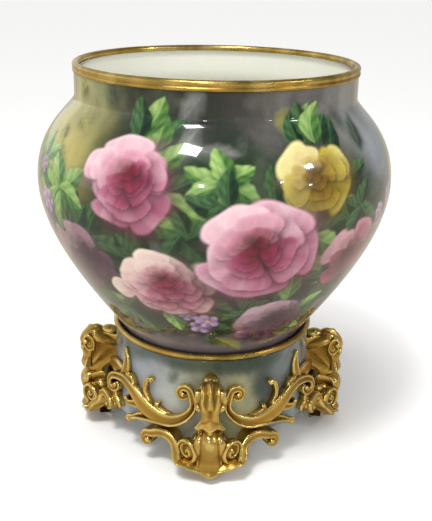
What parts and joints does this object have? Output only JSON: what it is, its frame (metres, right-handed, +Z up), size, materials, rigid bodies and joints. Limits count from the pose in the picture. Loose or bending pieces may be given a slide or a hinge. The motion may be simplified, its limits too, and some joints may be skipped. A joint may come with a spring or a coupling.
{
  "type": "flower pot on stand",
  "caption": "Squat round porcelain flower pot with a short neck and gilt rolled rim, seated loose in a round stand with moulded gilt scroll feet.",
  "frame": {"origin": "on the floor under the pot's axis", "axes": "+Z up along the pot's axis, the front foot along -Y, the left foot along -X"},
  "size_m": [0.3008, 0.3008, 0.3315],
  "materials": {
    "bowl_glaze": "very glossy clear glaze over a hand-painted flower ground, white inside",
    "stand_glaze": "glossy glaze over a clouded grey-green ground",
    "gilding": "burnished gilding on glazed porcelain"
  },
  "bodies": {
    "stand": {"stand_body": "stand_glaze", "stand_top_bead": "gilding", "console_front": "gilding", "console_left": "gilding", "console_back": "gilding", "console_right": "gilding", "crest_bead_front": "gilding", "crest_bead_left": "gilding", "crest_bead_back": "gilding", "crest_bead_right": "gilding", "foot_roll_front": "gilding", "foot_roll_left": "gilding", "foot_roll_back": "gilding", "foot_roll_right": "gilding", "toe_front": "gilding", "toe_left": "gilding", "toe_back": "gilding", "toe_right": "gilding", "branch_front_left": "gilding", "branch_front_right": "gilding", "branch_back_left": "gilding", "branch_back_right": "gilding", "bracket_front_left": "gilding", "bracket_front_right": "gilding", "bracket_left_front": "gilding", "bracket_left_back": "gilding", "bracket_back_left": "gilding", "bracket_back_right": "gilding", "bracket_right_front": "gilding", "bracket_right_back": "gilding"},
    "bowl": {"bowl_body": "bowl_glaze", "bowl_rim_bead": "gilding"}
  },
  "joints": [
    {"name": "bowl_lift", "type": "slide", "parent": "stand", "child": "bowl", "axis": [0, 0, 1], "range_m": [0, 0.12]}
  ]
}
